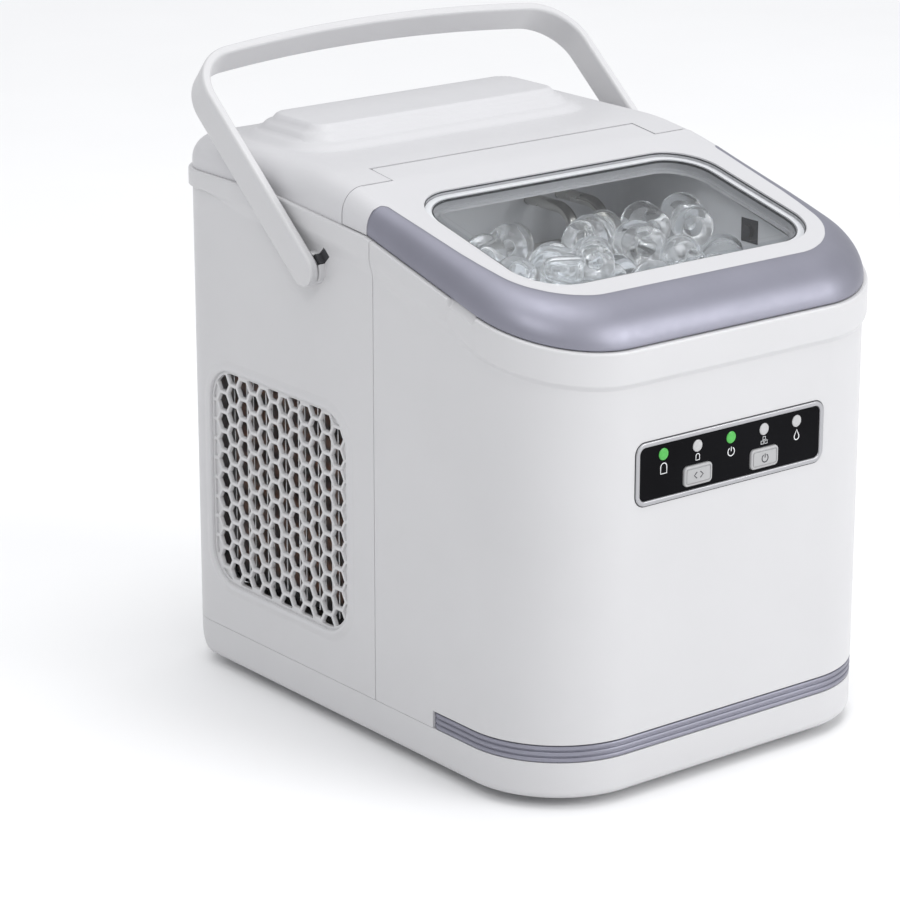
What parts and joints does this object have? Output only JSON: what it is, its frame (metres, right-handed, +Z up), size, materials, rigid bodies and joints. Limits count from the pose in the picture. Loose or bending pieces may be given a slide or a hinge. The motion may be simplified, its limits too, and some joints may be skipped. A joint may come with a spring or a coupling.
{
  "type": "portable ice maker",
  "caption": "Portable countertop ice maker with a sloping windowed lid, bail carrying handle, push-button front panel, honeycomb side vents and a lift-out ice basket.",
  "frame": {"origin": "on the floor under the middle of the casing", "axes": "+Z up, front with the control panel faces -Y, +X to the right as seen from the front-facing viewer"},
  "size_m": [0.24, 0.2908, 0.3212],
  "materials": {
    "white_plastic": "satin moulded",
    "silver_trim": "satin metallic paint",
    "grille_plastic": "satin",
    "rubber": "matt",
    "steel": "zinc plated",
    "clear_plastic": "clear moulded",
    "seal": "soft seal",
    "black_gloss": "gloss",
    "lamp": "translucent",
    "button_grey": "satin",
    "circuit_board": "board",
    "dark_plastic": "matt",
    "liner_plastic": "satin",
    "foam": "foam",
    "plated_metal": "nickel plated",
    "hose": "translucent silicone",
    "black_steel": "gloss paint",
    "aluminium": "mill",
    "copper": "bright copper"
  },
  "bodies": {
    "machine": {"base_tray": "white_plastic", "rubber_feet": "rubber", "base_screws": "steel", "front_casing": "white_plastic", "rear_casing": "white_plastic", "base_trim_strip": "silver_trim", "left_vent_grille": "grille_plastic", "right_vent_grille": "grille_plastic", "rear_louvre": "grille_plastic", "top_cover": "white_plastic", "hinge_pins": "steel", "panel_bezel": "silver_trim", "panel_face": "black_gloss", "indicator_lights": "lamp", "control_board": "circuit_board", "tact_switches": "dark_plastic", "inner_liner": "liner_plastic", "insulation_pads": "foam", "evaporator_manifold": "plated_metal", "freezing_fingers": "plated_metal", "tray_motor": "dark_plastic", "tray_bush": "dark_plastic", "ice_sensors": "dark_plastic", "water_pump": "dark_plastic", "water_hose": "hose", "drain_pipe": "hose", "compressor": "black_steel", "compressor_foot": "steel", "compressor_grommets": "rubber", "condenser_fins": "aluminium", "condenser_tube": "copper", "fan_shroud": "dark_plastic", "fan_motor": "steel", "filter_drier": "copper", "refrigerant_tubes": "copper", "main_board": "circuit_board", "cord_gland": "rubber"},
    "lid": {"lid_frame": "white_plastic", "lid_band": "silver_trim", "lid_inner_ring": "white_plastic", "lid_window": "clear_plastic", "window_gasket": "seal"},
    "handle": {"carry_handle": "white_plastic"},
    "power_key": {"power_button": "button_grey"},
    "select_key": {"select_button": "button_grey"},
    "basket": {"ice_basket": "liner_plastic"},
    "tray": {"water_tray": "liner_plastic", "ice_shovel": "liner_plastic", "tray_shafts": "steel"},
    "fan": {"fan_wheel": "dark_plastic"},
    "plug": {"drain_plug": "rubber"}
  },
  "joints": [
    {"name": "lid_hinge", "type": "hinge", "parent": "machine", "child": "lid", "pos_m": [0, 0.0135, 0.266], "axis": [-1, 0, 0], "range_deg": [0, 92]},
    {"name": "handle_swing", "type": "hinge", "parent": "machine", "child": "handle", "pos_m": [0, 0.0262, 0.228], "axis": [-1, 0, 0], "range_deg": [-45, 46]},
    {"name": "power_press", "type": "slide", "parent": "machine", "child": "power_key", "axis": [0, 1, 0], "range_m": [0, 0.0012], "stiffness_N_per_m": 600},
    {"name": "select_press", "type": "slide", "parent": "machine", "child": "select_key", "axis": [0, 1, 0], "range_m": [0, 0.0012], "stiffness_N_per_m": 600},
    {"name": "basket_lift", "type": "slide", "parent": "machine", "child": "basket", "axis": [0, 0, 1], "range_m": [0, 0.006]},
    {"name": "tray_tilt", "type": "hinge", "parent": "machine", "child": "tray", "pos_m": [0, 0.005, 0.205], "axis": [1, 0, 0], "range_deg": [0, 60]},
    {"name": "fan_spin", "type": "hinge", "parent": "machine", "child": "fan", "pos_m": [-0.0695, 0.059, 0.104], "axis": [1, 0, 0], "continuous": true},
    {"name": "plug_pull", "type": "slide", "parent": "machine", "child": "plug", "axis": [0, 1, 0], "range_m": [0, 0.018]}
  ]
}
